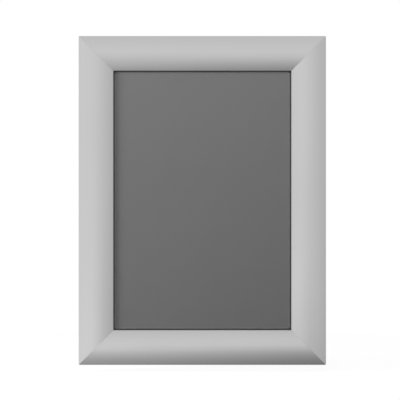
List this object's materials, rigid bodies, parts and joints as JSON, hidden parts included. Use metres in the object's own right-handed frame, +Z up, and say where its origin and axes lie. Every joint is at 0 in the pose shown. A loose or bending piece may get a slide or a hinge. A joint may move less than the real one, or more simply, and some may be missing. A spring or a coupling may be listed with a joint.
{
  "type": "snap-open clip frame",
  "caption": "Aluminium snap-open poster frame, portrait: domed mitred cover rails on spring hinges clip over a clear sheet and a dark backing board.",
  "frame": {"origin": "on the wall plane, in the middle of the four screw holes, which is the middle of the frame's back", "axes": "+Z up the frame's long side, +Y back into the wall, so the front faces -Y; +X to the right seen from the front"},
  "size_m": [0.264, 0.015, 0.351],
  "materials": {
    "anodised_aluminium": "satin silver anodised, with fine extrusion lines along each rail",
    "mill_aluminium": "mill finish extrusion",
    "zinc_plated_steel": "bright zinc plated sheet steel",
    "spring_steel": "rolled spring strip, lightly oiled",
    "board": "matt dark grey polystyrene sheet",
    "clear_sheet": "clear anti-glare plastic sheet"
  },
  "bodies": {
    "back_frame": {"base_rail_top": "mill_aluminium", "base_rail_bottom": "mill_aluminium", "base_rail_left": "mill_aluminium", "base_rail_right": "mill_aluminium", "corner_bracket_top_left": "zinc_plated_steel", "corner_bracket_top_right": "zinc_plated_steel", "corner_bracket_bottom_left": "zinc_plated_steel", "corner_bracket_bottom_right": "zinc_plated_steel", "spring_top_left": "spring_steel", "spring_top_right": "spring_steel", "spring_bottom_left": "spring_steel", "spring_bottom_right": "spring_steel", "spring_left_upper": "spring_steel", "spring_left_lower": "spring_steel", "spring_right_upper": "spring_steel", "spring_right_lower": "spring_steel", "backing_board": "board", "clear_cover": "clear_sheet"},
    "top_cover": {"cover_rail_top": "anodised_aluminium"},
    "bottom_cover": {"cover_rail_bottom": "anodised_aluminium"},
    "left_cover": {"cover_rail_left": "anodised_aluminium"},
    "right_cover": {"cover_rail_right": "anodised_aluminium"}
  },
  "joints": [
    {"name": "top_cover_hinge", "type": "hinge", "parent": "back_frame", "child": "top_cover", "pos_m": [0, -0.0054, 0.17322], "axis": [-1, 0, 0], "range_deg": [0, 90], "deforming": ["spring_top_left", "spring_top_right"]},
    {"name": "bottom_cover_hinge", "type": "hinge", "parent": "back_frame", "child": "bottom_cover", "pos_m": [0, -0.0054, -0.17322], "axis": [1, 0, 0], "range_deg": [0, 90], "deforming": ["spring_bottom_left", "spring_bottom_right"]},
    {"name": "left_cover_hinge", "type": "hinge", "parent": "back_frame", "child": "left_cover", "pos_m": [-0.12972, -0.0054, 0], "axis": [0, 0, -1], "range_deg": [0, 90], "deforming": ["spring_left_upper", "spring_left_lower"]},
    {"name": "right_cover_hinge", "type": "hinge", "parent": "back_frame", "child": "right_cover", "pos_m": [0.12972, -0.0054, 0], "axis": [0, 0, 1], "range_deg": [0, 90], "deforming": ["spring_right_upper", "spring_right_lower"]}
  ]
}
